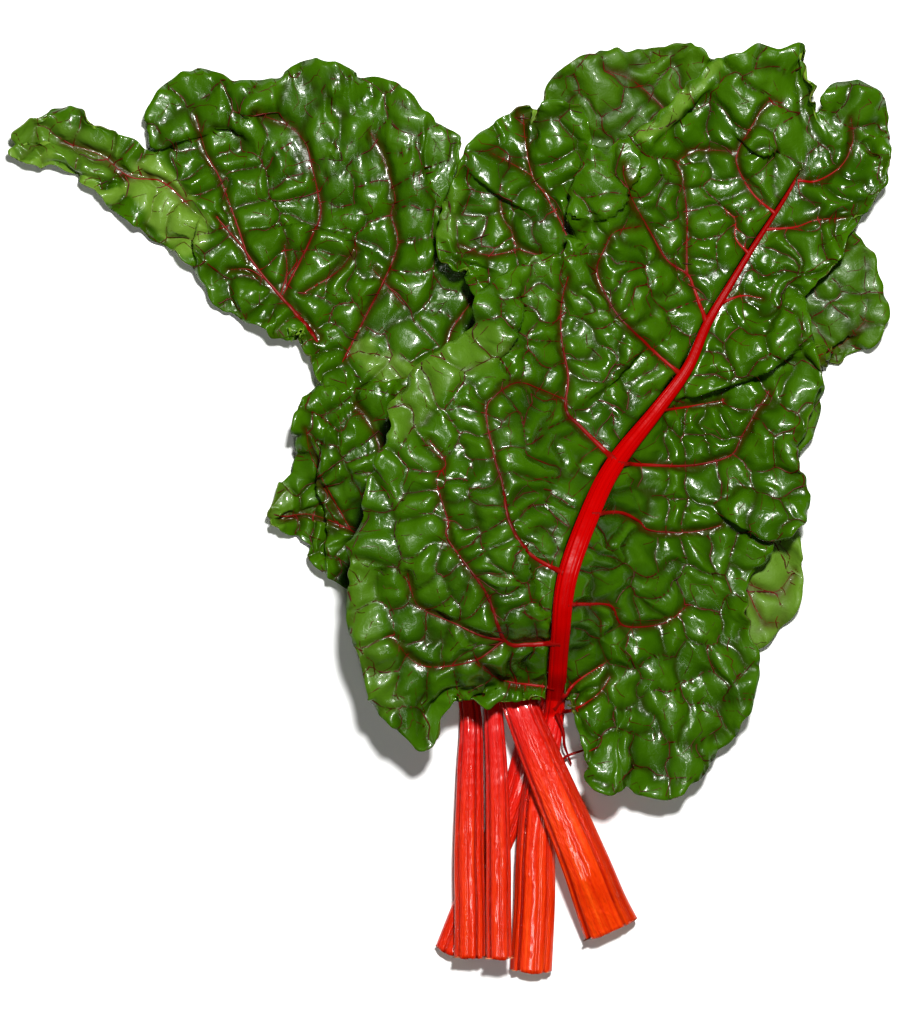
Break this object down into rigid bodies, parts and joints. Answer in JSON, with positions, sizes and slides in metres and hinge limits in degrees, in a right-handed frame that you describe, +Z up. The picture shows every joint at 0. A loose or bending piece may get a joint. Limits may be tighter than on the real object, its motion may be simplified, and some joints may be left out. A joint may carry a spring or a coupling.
{
  "type": "swiss chard bunch",
  "caption": "Bunch of red swiss chard lying flat: blistered glossy green leaves with red midribs and side veins, and cut red stalks gathered at one end.",
  "frame": {"origin": "middle of the bunch's box, on the surface that it lies on", "axes": "+Y from the cut ends of the stalks to the tips of the leaves, +Z up from the table"},
  "size_m": [0.3962, 0.42, 0.0565],
  "materials": {
    "leaf_green": "wet glossy leaf",
    "stalk_red": "wet glossy stalk"
  },
  "bodies": {
    "root": {"front_stalk": "stalk_red", "front_blade": "leaf_green", "upper_left_stalk": "stalk_red", "upper_left_blade": "leaf_green", "middle_left_stalk": "stalk_red", "middle_left_blade": "leaf_green", "upper_middle_stalk": "stalk_red", "upper_middle_blade": "leaf_green", "back_stalk": "stalk_red", "back_blade": "leaf_green"}
  },
  "joints": []
}
